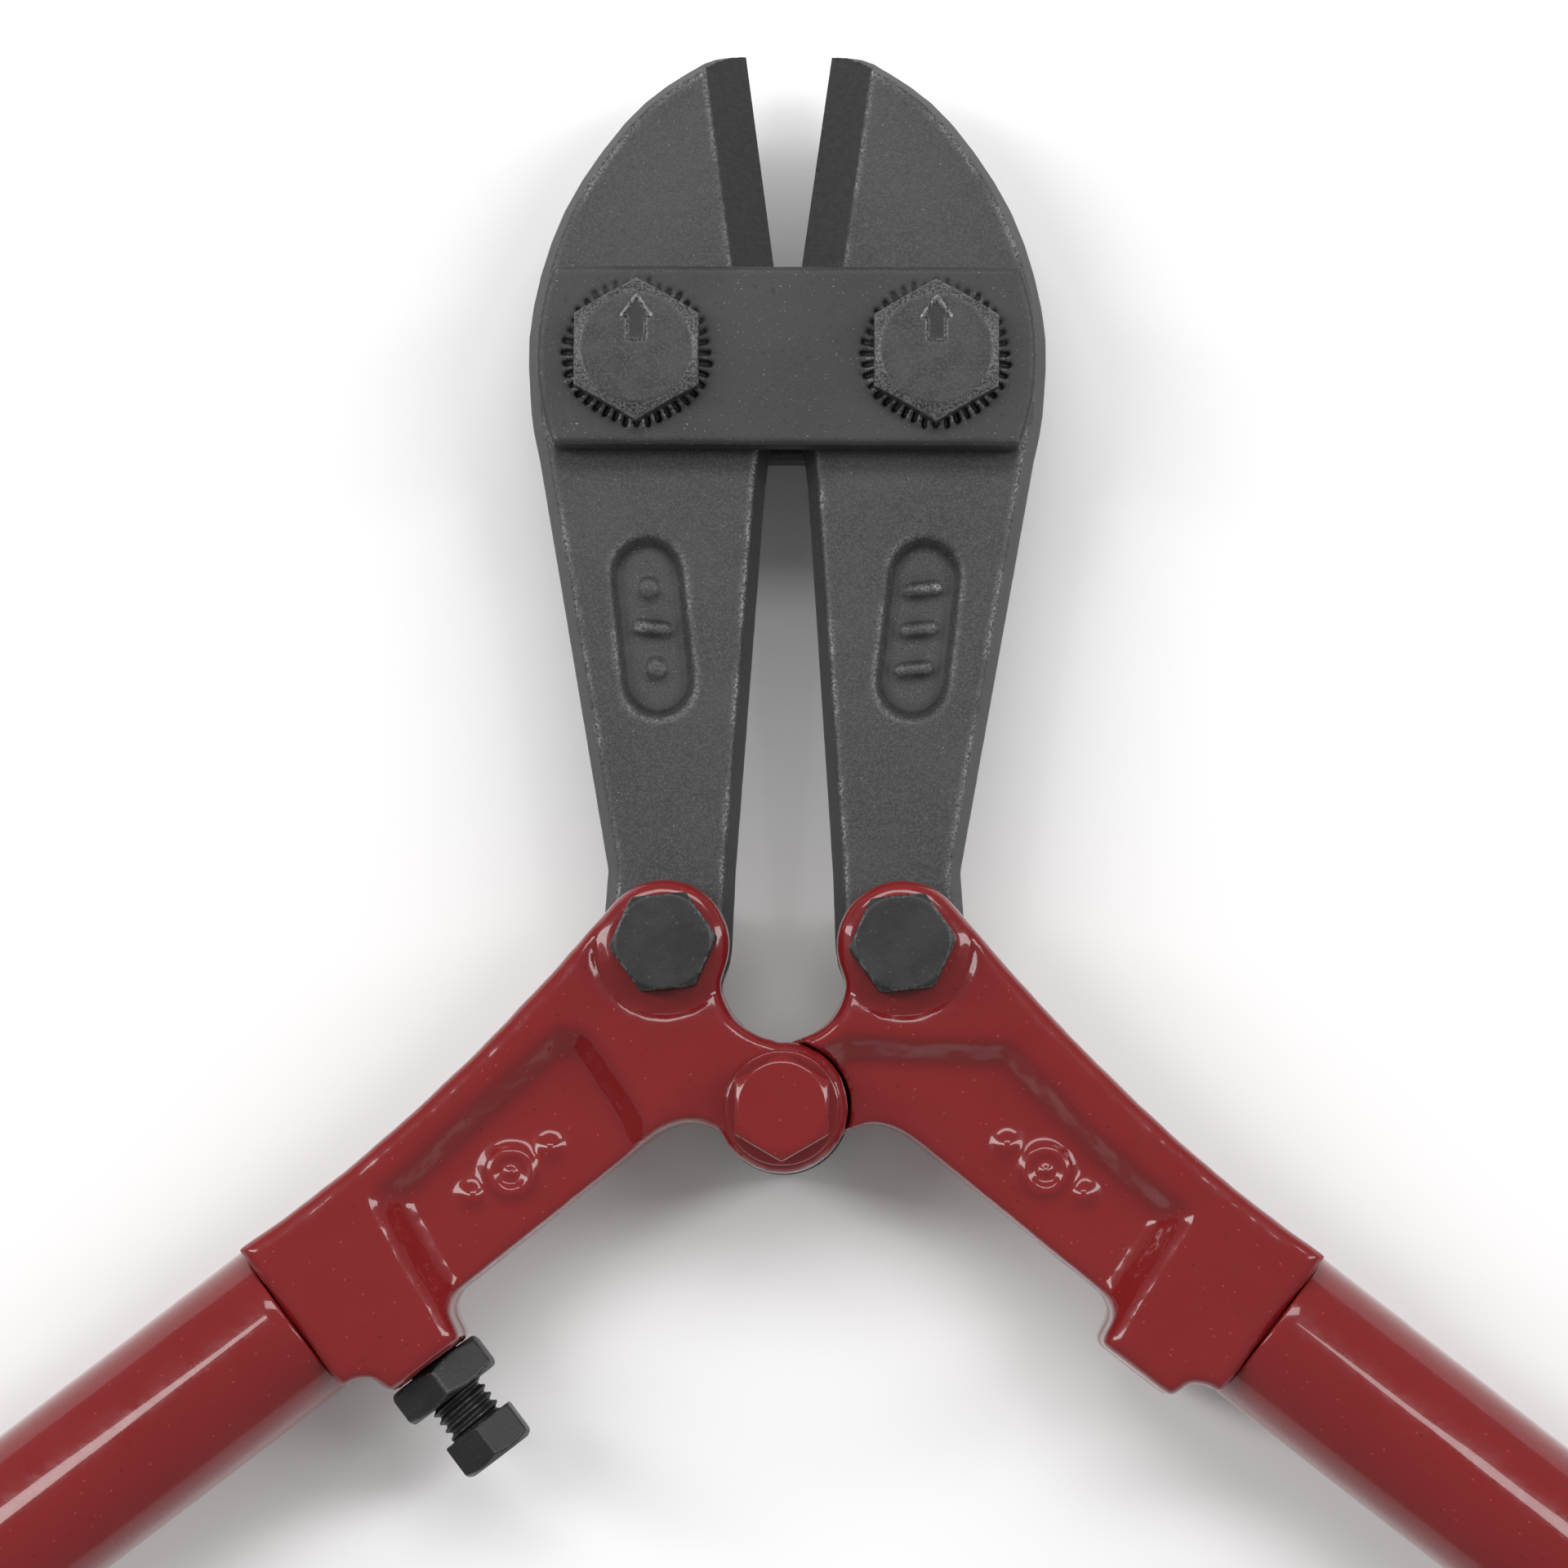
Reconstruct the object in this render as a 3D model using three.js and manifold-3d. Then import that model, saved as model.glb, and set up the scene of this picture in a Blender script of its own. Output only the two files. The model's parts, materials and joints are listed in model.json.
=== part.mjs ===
// Centre-cut bolt cutters with a nominal length of 18 inches, 460 mm from tip to grip when closed.
// Millimetres, +Z up. The tool lies flat with its handles spread and its jaws open, tips towards +Y.
// The origin is on the centre pivot's axis, in the plane that the tool lies on.
//
// Each bracket turns on its jaw's tail and both meet at the centre pivot, so closing the handles
// spreads the jaw tails and closes the blades. Both brackets are the same casting, one flipped over.

import * as THREE from 'three';
import { mergeVertices } from 'three/addons/utils/BufferGeometryUtils.js';
import Module from 'manifold-3d';

const wasm = await Module();
wasm.setup();

const { degToRad } = THREE.MathUtils;
const point = (x, y) => new THREE.Vector2(x, y);

// Heights. The outermost nuts and the grip guards share the plane that the tool lies on.
const restHeight = 17.5; // from that plane to the tool's mid-plane
const gap = 0.3; // between neighbouring pieces
const seat = 0.2; // between faces that are clamped together

// Linkage, open.
const jawPivotX = 19.2;
const jawArm = 75.5; // jaw pivot to tail pin
const tailX = 15.16;
const jawClosing = degToRad(7.8); // each jaw, open to closed
const handleClosing = degToRad(45.3); // each handle, open to closed
const armLean = Math.asin((jawPivotX - tailX) / jawArm);
const closedTailX = jawPivotX + jawArm * Math.sin(jawClosing - armLean);
// The tail pin's angle above the centre pivot, chosen so that both end positions close exactly.
const tailAngle = Math.atan((closedTailX / tailX - Math.cos(handleClosing)) / Math.sin(handleClosing));
const tailY = tailX * Math.tan(tailAngle);
const jawPivotY = tailY + jawArm * Math.cos(armLean);

// Jaws.
const jawHalf = 4.25; // half of a jaw's thickness
const jawDraft = 1.5;
const tailBossRadius = 8.5;
const edgeGap = 0.15; // from each closed cutting edge to the centre line
const bladeLength = 39;
const bladeBevel = 5.6;
const edgeHalf = 0.3;

// Side plates.
const plateInner = jawHalf + gap;
const plateOuter = 10.2;
const plateBottomY = 84.9;
const plateHeight = 23.2;
const plateCornerX = 30.1;
const plateBulge = 2.1;

// Brackets and handles.
const bracketHalf = 10.8;
const earRadius = 8.4;
const lugRadius = 8.4;
const axisAngle = degToRad(180 + 37.55); // the left tube's direction
const axisOffset = 16.5; // from the centre pivot out to the tube's axis
const socketEnd = 66; // along the tube's axis
const bossAt = 55.8;
const bossHeight = 15.3;
const bossHalf = 5.7;
const bossFillet = 3;
const tubeRadius = 11;
const tubeWall = 1.5;
const tubeEnd = 335;
const spigotEnd = 92; // of the bracket's plug inside the tube
const gripStart = 223;
const gripEnd = 343;
const guardRadius = restHeight;

// Fasteners: widths across the flats, and radii.
const jawBoltFlats = 16;
const jawBoltRadius = 5;
const jawHeadHeight = 4;
const jawWasherRadius = 9.8;
const jawWasherHeight = 1.5;
const shoulderRadius = 6;
const eccentricity = 0.6; // from the jaw pivot to the eccentric bolt's own axis, towards the tips
const pinFlats = 12;
const pinRadius = 3.5;
const headHeight = 5.3;
const centreShankRadius = 3.3;
const stopRadius = 3.9;
const stopHeadEnd = 30.1; // from the tube's axis to the end of the stop screw
const stopHeadHeight = 5;
const stopHeadFlats = 9.8;
const stopThreadLength = 20; // below the head
const lockNutFlats = 13;
const lockNutHeight = 5;

const tailPin = point(-tailX, tailY);
const jawPivot = point(-jawPivotX, jawPivotY);
const tubeFoot = point(axisOffset * Math.sin(axisAngle), -axisOffset * Math.cos(axisAngle));

const finishes = {
  forging: { color: 0x4b4b4c, roughness: 0.5, metalness: 0.8 },
  fastener: { color: 0x303031, roughness: 0.4, metalness: 0.8 },
  redPaint: { color: 0x8a1c20, roughness: 0.25, metalness: 0.1 },
  rubber: { color: 0x1b1b1c, roughness: 0.8, metalness: 0 },
};

// A closed solid from one of three's geometries.
function solid(geometry) {
  geometry.deleteAttribute('normal');
  geometry.deleteAttribute('uv');
  const merged = mergeVertices(geometry, 1e-4);
  return new wasm.Manifold(new wasm.Mesh({
    numProp: 3,
    vertProperties: merged.attributes.position.array,
    triVerts: new Uint32Array(merged.index.array),
  }));
}

function mesh(name, body, finish) {
  const { vertProperties, triVerts } = body.getMesh();
  const geometry = new THREE.BufferGeometry();
  geometry.setAttribute('position', new THREE.BufferAttribute(vertProperties, 3));
  geometry.setIndex(new THREE.BufferAttribute(triVerts, 1));
  geometry.computeVertexNormals();
  const result = new THREE.Mesh(geometry, new THREE.MeshStandardMaterial(finishes[finish]));
  result.name = name;
  return result;
}

// Points on an arc, in degrees, from one angle to another either way round.
function arc(centre, radius, from, to, steps) {
  return Array.from({ length: steps + 1 }, (_, i) => {
    const angle = degToRad(from + ((to - from) * i) / steps);
    return point(centre.x + radius * Math.cos(angle), centre.y + radius * Math.sin(angle));
  });
}

// An outline raised from low to high, with its edges cut back by inset over the height slope.
function prism(outline, low, high, inset = 0, slope = inset) {
  const geometry = new THREE.ExtrudeGeometry(new THREE.Shape(outline), {
    depth: high - low - 2 * slope,
    steps: 1,
    bevelEnabled: inset > 0,
    bevelThickness: slope,
    bevelSize: inset,
    bevelOffset: -inset,
    bevelSegments: 1,
  });
  geometry.translate(0, 0, low + slope);
  return solid(geometry);
}

// A round bar along Z.
function rod(centre, radius, low, high, sides = 24) {
  const geometry = new THREE.CylinderGeometry(radius, radius, high - low, sides);
  geometry.rotateX(Math.PI / 2);
  geometry.translate(centre.x, centre.y, (low + high) / 2);
  return solid(geometry);
}

// A hexagonal bar along Z, by its width across the flats, with a corner towards +Y turned by degrees.
function hexagon(centre, flats, low, high, turn = 0) {
  const corner = flats / 2 / Math.cos(Math.PI / 6);
  return rod(point(0, 0), corner, low, high, 6).rotate([0, 0, turn]).translate([centre.x, centre.y, 0]);
}

// A body of revolution about the X axis, from [along, radius] pairs.
function turned(profile, sides = 24) {
  const geometry = new THREE.LatheGeometry(profile.map(([along, radius]) => point(radius, along)), sides);
  geometry.rotateZ(-Math.PI / 2);
  return solid(geometry);
}

// Lays a solid built along Z square to the tube, at the bracket's boss, in the tube's own frame.
function squareToTube(body) {
  return body.rotate([-90, 0, 0]).translate([bossAt, 0, 0]);
}

function jawOutline() {
  const open = point(Math.cos(jawClosing), Math.sin(jawClosing));
  const heel = point(
    jawPivot.x + (jawPivotX - edgeGap) * open.x,
    jawPivot.y + (jawPivotX - edgeGap) * open.y,
  );
  const tip = point(heel.x - bladeLength * open.y, heel.y + bladeLength * open.x);
  const back = new THREE.SplineCurve([
    point(-7.5, 137.4),
    point(-11.8, 136.2),
    point(-20.6, 129.6),
    point(-29.2, 117),
    point(-33.4, 103),
    point(-33.4, 91),
    point(-32.2, 84.2),
  ]);
  return {
    heel,
    points: [
      heel,
      tip,
      ...back.getPoints(20),
      point(-22.8, 30.6),
      ...arc(tailPin, tailBossRadius, 165, 360, 12),
      point(-6.3, 30.1),
      point(-2.75, 80.9),
    ],
  };
}

// The wedge that one face's blade bevel removes, along the cutting edge from the heel.
function bevelCut(heel, side) {
  const slope = (jawHalf - edgeHalf) / bladeBevel;
  const past = 2;
  const outline = [
    point(-past, side * (edgeHalf - past * slope)),
    point(bladeBevel + past, side * (jawHalf + past * slope)),
    point(-past, side * (jawHalf + past * slope)),
  ];
  const geometry = new THREE.ExtrudeGeometry(new THREE.Shape(outline), {
    depth: bladeLength,
    steps: 1,
    bevelEnabled: false,
  });
  const start = 9; // the bevels begin just under the side plates' upper edge
  geometry.translate(0, 0, start);
  geometry.applyMatrix4(new THREE.Matrix4().makeBasis(
    new THREE.Vector3(-Math.cos(jawClosing), -Math.sin(jawClosing), 0),
    new THREE.Vector3(0, 0, 1),
    new THREE.Vector3(-Math.sin(jawClosing), Math.cos(jawClosing), 0),
  ));
  geometry.translate(heel.x, heel.y, 0);
  return solid(geometry);
}

// The long oval recess forged into one face of a jaw's shank.
function recessCut(side) {
  const upper = point(-18, 69);
  const lower = point(-16.4, 54.8);
  const radius = 4.9;
  const lean = THREE.MathUtils.radToDeg(Math.atan2(upper.y - lower.y, upper.x - lower.x));
  const outline = [
    ...arc(upper, radius, lean + 90, lean - 90, 8),
    ...arc(lower, radius, lean - 90, lean - 270, 8),
  ];
  const depth = 1.5;
  const reach = 2 * depth;
  const low = side > 0 ? jawHalf - depth : -jawHalf + depth - reach;
  return prism(outline, low, low + reach, 1.1, depth * 0.98);
}

// With the joints turning at constant ratios, the right jaw drifts outwards on its bolt by as much
// as this halfway through the stroke, and comes back, so its hole is wider and reaches inwards.
const drift = 3.6;

function jaw(looseness) {
  const { heel, points } = jawOutline();
  const bore = point(jawPivot.x + looseness / 2, jawPivot.y);
  return prism(points, -jawHalf, jawHalf, jawDraft, jawHalf - 0.4)
    .subtract(bevelCut(heel, 1))
    .subtract(bevelCut(heel, -1))
    .subtract(recessCut(1))
    .subtract(recessCut(-1))
    .subtract(rod(bore, shoulderRadius + looseness / 2 + gap, -jawHalf - 1, jawHalf + 1))
    .subtract(rod(tailPin, pinRadius + gap, -jawHalf - 1, jawHalf + 1));
}

// A side plate, with its ends bowed out. The jaw bolts pass through it.
function sidePlate(low, high) {
  const half = plateHeight / 2;
  const centreY = plateBottomY + half;
  const radius = (half * half + plateBulge * plateBulge) / (2 * plateBulge);
  const spread = THREE.MathUtils.radToDeg(Math.asin(half / radius));
  const arcX = plateCornerX + plateBulge - radius;
  const outline = [
    ...arc(point(arcX, centreY), radius, -spread, spread, 8),
    ...arc(point(-arcX, centreY), radius, 180 - spread, 180 + spread, 8),
  ];
  let plate = prism(outline, low, high, 0.6);
  for (const x of [-jawPivotX, jawPivotX]) {
    plate = plate.subtract(rod(point(x, jawPivotY + eccentricity), jawBoltRadius + gap, low - 1, high + 1));
  }
  return plate;
}

// An eccentric jaw bolt: the head and both journals share one axis, the shoulder in the jaw another.
function jawBolt(x) {
  const own = point(x, jawPivotY + eccentricity);
  const head = plateOuter + seat;
  return rod(own, jawBoltRadius, -restHeight, head + 1)
    .add(rod(point(x, jawPivotY), shoulderRadius, -jawHalf, jawHalf))
    .add(hexagon(own, jawBoltFlats, head, head + jawHeadHeight));
}

function washer(centre, outer, inner, low, high) {
  return rod(centre, outer, low, high).subtract(rod(centre, inner, low - 1, high + 1));
}

function nut(centre, flats, bore, low, high, turn = 0) {
  return hexagon(centre, flats, low, high, turn).subtract(rod(centre, bore, low - 1, high + 1));
}

function hexBolt(centre, flats, radius, headLow, end, turn = 0) {
  const head = hexagon(centre, flats, headLow, headLow + headHeight, turn);
  return head.add(rod(centre, radius, end, headLow + 1));
}

// A place given along the left tube's axis and inwards from it.
function onTube(along, inward) {
  const x = Math.cos(axisAngle);
  const y = Math.sin(axisAngle);
  return point(tubeFoot.x + along * x - inward * y, tubeFoot.y + along * y + inward * x);
}

// Carries a solid from the tube's own frame, with X along its axis, to the left handle's place.
function ontoTube(body) {
  return body.rotate([0, 0, THREE.MathUtils.radToDeg(axisAngle)]).translate([tubeFoot.x, tubeFoot.y, 0]);
}

// Round the ear on the jaw's tail, the centre lug, the neck, the stop screw's boss and the socket.
function bracketOutline() {
  const centre = point(0, 0);
  const outerSlope = 50; // of the ear's tangent, degrees below horizontal
  const earEdge = arc(tailPin, earRadius, 90 + outerSlope, -25, 12);
  const crook = arc(point(0, 16.7), 8.2, 186, 262, 7); // the hollow between the ear and the lug
  const outerCorner = onTube(socketEnd, -tubeRadius);
  const flank = new THREE.QuadraticBezierCurve(outerCorner, point(-46, -2.8), earEdge[0]);
  const lug = arc(centre, lugRadius, 96, -158, 18);
  const neck = new THREE.QuadraticBezierCurve(lug.at(-1), point(-12, -0.2), onTube(16, 9.4));
  return [
    ...earEdge,
    ...crook,
    ...lug,
    ...neck.getPoints(6).slice(1),
    onTube(bossAt - bossHalf - bossFillet, 10),
    onTube(bossAt - bossHalf - 0.6, 11.4),
    onTube(bossAt - bossHalf, bossHeight),
    onTube(bossAt + bossHalf, bossHeight),
    onTube(bossAt + bossHalf + 0.6, 12.2),
    onTube(bossAt + bossHalf + bossFillet, tubeRadius),
    onTube(socketEnd, tubeRadius),
    ...flank.getPoints(10).slice(0, -1),
  ];
}

// The pocket in the face that the centre lug is on ends at a wall before the lug.
const walledPocket = [
  onTube(48.6, -6.6),
  point(-28.6, 10.7),
  point(-24.2, 9.5),
  point(-17.9, 0),
  point(-15.5, -6),
  onTube(24, 16),
  onTube(51.5, 16),
  onTube(50.6, 9),
  onTube(50, 2),
];

// The pocket in the other face runs on to the centre pivot.
const openPocket = [
  onTube(49.5, -5.2),
  point(-41.1, -3.3),
  point(-29.3, 8.8),
  point(-18.9, 9),
  point(-7.8, 9.6),
  point(4, 2),
  point(4, -12),
  onTube(24, 16),
  onTube(51.5, 16),
  onTube(50.6, 9),
];

function bracket(bossBore) {
  const pocketFloor = 6.6;
  const pocketReach = 2 * (bracketHalf - pocketFloor);
  const pocketDraft = 3.8;
  const full = bracketHalf + 1;
  let body = prism(bracketOutline(), -bracketHalf, bracketHalf, 1, 1.1)
    .subtract(prism(walledPocket, pocketFloor, pocketFloor + pocketReach, pocketDraft, pocketReach * 0.49))
    .subtract(prism(openPocket, -pocketFloor - pocketReach, -pocketFloor, pocketDraft, pocketReach * 0.49))
    // The fork's slot, which the jaw's tail turns in.
    .subtract(rod(tailPin, tailBossRadius + 2 * gap, -plateInner, plateInner, 36))
    // The half lap at the centre pivot.
    .subtract(rod(point(0, 0), lugRadius + gap, -full, gap / 2, 48))
    .subtract(rod(tailPin, pinRadius + gap, -full, full))
    .subtract(rod(point(0, 0), centreShankRadius + gap, -full, full));
  const spigotRadius = tubeRadius - tubeWall - gap;
  const spigotTaper = 2;
  const spigot = turned([
    [socketEnd - 5, 0],
    [socketEnd - 5, spigotRadius],
    [spigotEnd - spigotTaper, spigotRadius],
    [spigotEnd, spigotRadius - spigotTaper / 2],
    [spigotEnd, 0],
  ]);
  body = body.add(ontoTube(spigot));
  return bossBore ? body.subtract(bossBore) : body;
}

// The threaded hole for the stop screw, square to the tube's axis.
function stopBore() {
  return ontoTube(squareToTube(rod(point(0, 0), stopRadius + gap, -1, bossHeight + 2)));
}

function tube() {
  const inner = tubeRadius - tubeWall;
  const start = socketEnd + gap;
  return turned([
    [start, inner],
    [start, tubeRadius],
    [tubeEnd, tubeRadius],
    [tubeEnd, inner],
    [start, inner],
  ]);
}

function grip() {
  const bore = tubeRadius + gap;
  const body = 14.6;
  return turned([
    [gripStart, bore],
    [gripStart, 16.4],
    [gripStart + 1, guardRadius],
    [gripStart + 5, guardRadius],
    [gripStart + 7, 16],
    [gripStart + 12, body],
    [gripEnd - 18, body],
    [gripEnd - 12, 15.6],
    [gripEnd - 5, 15.8],
    [gripEnd - 1.8, 14],
    [gripEnd, 10.5],
    [gripEnd, 0],
    [tubeEnd + gap, 0],
    [tubeEnd + gap, bore],
    [gripStart, bore],
  ]);
}

// The adjusting screw that stops the handles. It is screwed into the left bracket's boss.
function stopScrew() {
  const headLow = stopHeadEnd - stopHeadHeight;
  const origin = point(0, 0);
  const head = hexagon(origin, stopHeadFlats, headLow, stopHeadEnd);
  return squareToTube(head.add(rod(origin, stopRadius, headLow - stopThreadLength, headLow + 1)));
}

function lockNut() {
  const low = bossHeight + seat;
  return squareToTube(nut(point(0, 0), lockNutFlats, stopRadius + gap, low, low + lockNutHeight));
}

function handleGroup(parts) {
  const group = new THREE.Group();
  group.position.set(tubeFoot.x, tubeFoot.y, 0);
  group.rotation.z = axisAngle;
  group.add(...parts);
  return group;
}

function buildHead() {
  const group = new THREE.Group();
  group.add(mesh('front_side_plate', sidePlate(plateInner, plateOuter), 'forging'));
  group.add(mesh('rear_side_plate', sidePlate(-plateOuter, -plateInner), 'forging'));
  const washerLow = -plateOuter - seat - jawWasherHeight;
  const washerHigh = -plateOuter - seat;
  for (const [side, x] of [['left', -jawPivotX], ['right', jawPivotX]]) {
    const own = point(x, jawPivotY + eccentricity);
    const bore = jawBoltRadius + gap;
    group.add(mesh(`${side}_jaw_bolt`, jawBolt(x), 'fastener'));
    const ring = washer(own, jawWasherRadius, bore, washerLow, washerHigh);
    const lockingNut = nut(own, jawBoltFlats, bore, -restHeight, washerLow - seat);
    group.add(mesh(`${side}_jaw_washer`, ring, 'fastener'));
    group.add(mesh(`${side}_jaw_nut`, lockingNut, 'fastener'));
  }
  return group;
}

// One jaw, bracket, tube and grip. The right side is the left side's castings turned over.
function buildSide(side, looseness, bossBore) {
  const group = new THREE.Group();
  group.add(mesh(`${side}_jaw`, jaw(looseness), 'forging'));
  group.add(mesh(`${side}_bracket`, bracket(bossBore), 'redPaint'));
  group.add(handleGroup([
    mesh(`${side}_tube`, tube(), 'redPaint'),
    mesh(`${side}_grip`, grip(), 'rubber'),
  ]));
  return group;
}

// The two tail pins and the centre pivot: bolts from the front, nuts behind.
function buildPins() {
  const group = new THREE.Group();
  const face = bracketHalf + seat;
  const nutHeight = 5.5;
  const tailTurn = 36; // from a corner at the top to where the tail pins' hexagons were tightened
  for (const [side, x] of [['left', -tailX], ['right', tailX]]) {
    const at = point(x, tailY);
    const end = -face - nutHeight;
    const bolt = hexBolt(at, pinFlats, pinRadius, face, end, tailTurn);
    const tailNut = nut(at, pinFlats, pinRadius + gap, end, -face, tailTurn);
    group.add(mesh(`${side}_tail_bolt`, bolt, 'fastener'));
    group.add(mesh(`${side}_tail_nut`, tailNut, 'fastener'));
  }
  const centre = point(0, 0);
  const frontWasher = { radius: 7.4, height: 0.9 };
  const rearWasher = { radius: 8.6, height: 1.2 };
  const bore = centreShankRadius + gap;
  const headLow = face + frontWasher.height + seat;
  const nutTop = -face - rearWasher.height - seat;
  const centreBolt = hexBolt(centre, pinFlats, centreShankRadius, headLow, -restHeight);
  const front = washer(centre, frontWasher.radius, bore, face, face + frontWasher.height);
  const rear = washer(centre, rearWasher.radius, bore, -face - rearWasher.height, -face);
  group.add(mesh('centre_pivot_bolt', centreBolt, 'redPaint'));
  group.add(mesh('centre_pivot_washer', front, 'redPaint'));
  group.add(mesh('centre_rear_washer', rear, 'fastener'));
  group.add(mesh('centre_pivot_nut', nut(centre, pinFlats, bore, -restHeight, nutTop), 'fastener'));
  return group;
}

function buildStop() {
  return handleGroup([
    mesh('stop_screw', stopScrew(), 'fastener'),
    mesh('stop_lock_nut', lockNut(), 'fastener'),
  ]);
}

const rightSide = buildSide('right', drift, null);
rightSide.rotation.y = Math.PI;

const boltCutters = new THREE.Group();
boltCutters.position.z = restHeight;
boltCutters.add(buildHead(), buildSide('left', 0, stopBore()), rightSide, buildPins(), buildStop());

export default boltCutters;
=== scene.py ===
import json
import math
import random

import bmesh
import bpy
import numpy as np
from mathutils import Matrix, Vector


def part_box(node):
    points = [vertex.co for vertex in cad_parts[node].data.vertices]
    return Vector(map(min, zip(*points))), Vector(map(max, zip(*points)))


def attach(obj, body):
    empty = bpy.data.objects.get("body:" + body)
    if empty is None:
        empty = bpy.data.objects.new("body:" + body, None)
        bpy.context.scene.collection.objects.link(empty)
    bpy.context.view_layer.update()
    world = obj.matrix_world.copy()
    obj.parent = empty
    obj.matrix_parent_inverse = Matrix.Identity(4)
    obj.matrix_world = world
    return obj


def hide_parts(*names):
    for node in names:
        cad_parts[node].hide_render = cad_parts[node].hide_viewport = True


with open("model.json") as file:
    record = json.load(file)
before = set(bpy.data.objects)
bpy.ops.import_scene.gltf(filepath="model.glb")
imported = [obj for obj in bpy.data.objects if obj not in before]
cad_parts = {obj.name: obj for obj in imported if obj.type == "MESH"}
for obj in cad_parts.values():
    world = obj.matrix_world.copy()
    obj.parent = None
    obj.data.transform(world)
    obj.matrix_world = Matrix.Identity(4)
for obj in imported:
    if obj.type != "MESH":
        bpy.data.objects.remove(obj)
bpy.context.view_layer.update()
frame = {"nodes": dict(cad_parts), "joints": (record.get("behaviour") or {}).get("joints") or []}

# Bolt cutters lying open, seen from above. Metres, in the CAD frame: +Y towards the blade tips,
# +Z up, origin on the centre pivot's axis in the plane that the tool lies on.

MM = 0.001
joints = {joint["name"]: joint for joint in frame["joints"]}


def joint_place(name):
    return Vector(joints[name]["pos_m"])


JAW_PIVOT = joint_place("left_jaw_pivot")
MID = JAW_PIVOT.z  # height of the tool's mid-plane
CLOSING = math.radians(joints["left_jaw_pivot"]["range_deg"][1])
EDGE_GAP = 0.15 * MM  # from each closed cutting edge to the centre line
EDGE_HALF = 0.3 * MM  # half of the cutting edge's thickness
JAW_HALF = 4.25 * MM  # half of a jaw's thickness
BEVEL_WIDTH = 5.6 * MM
TAIL_PIN = joint_place("left_tail_pivot")
TUBE_RADIUS = 11 * MM
TUBE_ANGLE = math.radians(180 + 37.55)  # the left tube's direction
AXIS_OFFSET = 16.5 * MM  # from the centre pivot out to the tube's axis
SOCKET_END = 66 * MM  # along the tube's axis
SIGN = {"left": -1, "right": 1}  # of X on each side

# Voxel sizes
JAW_VOXEL = 0.34 * MM
PLATE_VOXEL = 0.24 * MM
CAST_VOXEL = 0.42 * MM
FASTENER_VOXEL = 0.2 * MM
NUT_VOXEL = 0.18 * MM
SCREW_VOXEL = 0.15 * MM


# ---------------------------------------------------------------- mesh tools

def link(name, mesh):
    piece = bpy.data.objects.new(name, mesh)
    bpy.context.scene.collection.objects.link(piece)
    return piece


def from_lists(name, vertices, faces):
    mesh = bpy.data.meshes.new(name)
    mesh.from_pydata([tuple(v) for v in vertices], [], faces)
    bm = bmesh.new()
    bm.from_mesh(mesh)
    bmesh.ops.recalc_face_normals(bm, faces=bm.faces)
    bm.to_mesh(mesh)
    bm.free()
    return link(name, mesh)


def copy_node(name, node):
    """A new object with a copy of a CAD node's mesh, its shared corners welded."""
    mesh = frame["nodes"][node].data.copy()
    mesh.materials.clear()
    bm = bmesh.new()
    bm.from_mesh(mesh)
    bmesh.ops.remove_doubles(bm, verts=bm.verts, dist=1e-6)
    bm.to_mesh(mesh)
    bm.free()
    return link(name, mesh)


def settle(piece):
    """Applies a piece's modifiers to its mesh."""
    bpy.context.view_layer.update()
    graph = bpy.context.evaluated_depsgraph_get()
    mesh = bpy.data.meshes.new_from_object(piece.evaluated_get(graph), depsgraph=graph)
    old = piece.data
    piece.modifiers.clear()
    piece.data = mesh
    bpy.data.meshes.remove(old)


def discard(piece):
    mesh = piece.data
    bpy.data.objects.remove(piece)
    bpy.data.meshes.remove(mesh)


def combine(piece, other, operation):
    """Cuts a piece with another closed body, which is used up."""
    modifier = piece.modifiers.new("boolean", "BOOLEAN")
    modifier.operation = operation
    modifier.solver = "EXACT"
    modifier.object = other
    settle(piece)
    discard(other)


def join(piece, *others):
    """Adds other closed meshes to a piece's mesh. A voxel pass makes them one body."""
    bm = bmesh.new()
    for one in (piece, *others):
        bm.from_mesh(one.data)
    bm.to_mesh(piece.data)
    bm.free()
    for other in others:
        discard(other)
    return piece


def voxels(piece, size):
    """Rebuilds a piece as one even skin."""
    modifier = piece.modifiers.new("voxels", "REMESH")
    modifier.mode = "VOXEL"
    modifier.voxel_size = size
    settle(piece)


def positions(mesh):
    points = np.empty(len(mesh.vertices) * 3, np.float32)
    mesh.vertices.foreach_get("co", points)
    return points.reshape(-1, 3).astype(float)


def set_positions(mesh, points):
    mesh.vertices.foreach_set("co", points.astype(np.float32).ravel())
    mesh.update()


def relax(piece, repeats, keep=None):
    """Rounds a piece's edges. keep gives, for each vertex, how much it is held back from moving."""
    mesh = piece.data
    points = positions(mesh)
    move = 0.5 if keep is None else 0.5 * (1 - keep(points))[:, None]
    for _ in range(repeats):
        points += move * (neighbour_mean(mesh, points) - points)
    set_positions(mesh, points)


def roughen(piece, size, height):
    """Pushes the surface in and out by smooth noise, as a casting or forging has."""
    texture = bpy.data.textures.new("relief", "CLOUDS")
    texture.noise_scale = size
    texture.noise_depth = 2
    modifier = piece.modifiers.new("relief", "DISPLACE")
    modifier.texture = texture
    modifier.texture_coords = "GLOBAL"
    modifier.strength = height
    modifier.mid_level = 0.5
    settle(piece)


def store(piece, name, values):
    """Keeps a number for each vertex, which the materials read by name."""
    layer = piece.data.attributes.new(name, "FLOAT", "POINT")
    layer.data.foreach_set("value", values.astype(np.float32))


def normals_of(mesh):
    normals = np.empty(len(mesh.vertices) * 3, np.float32)
    mesh.vertex_normals.foreach_get("vector", normals)
    return normals.reshape(-1, 3)


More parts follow.
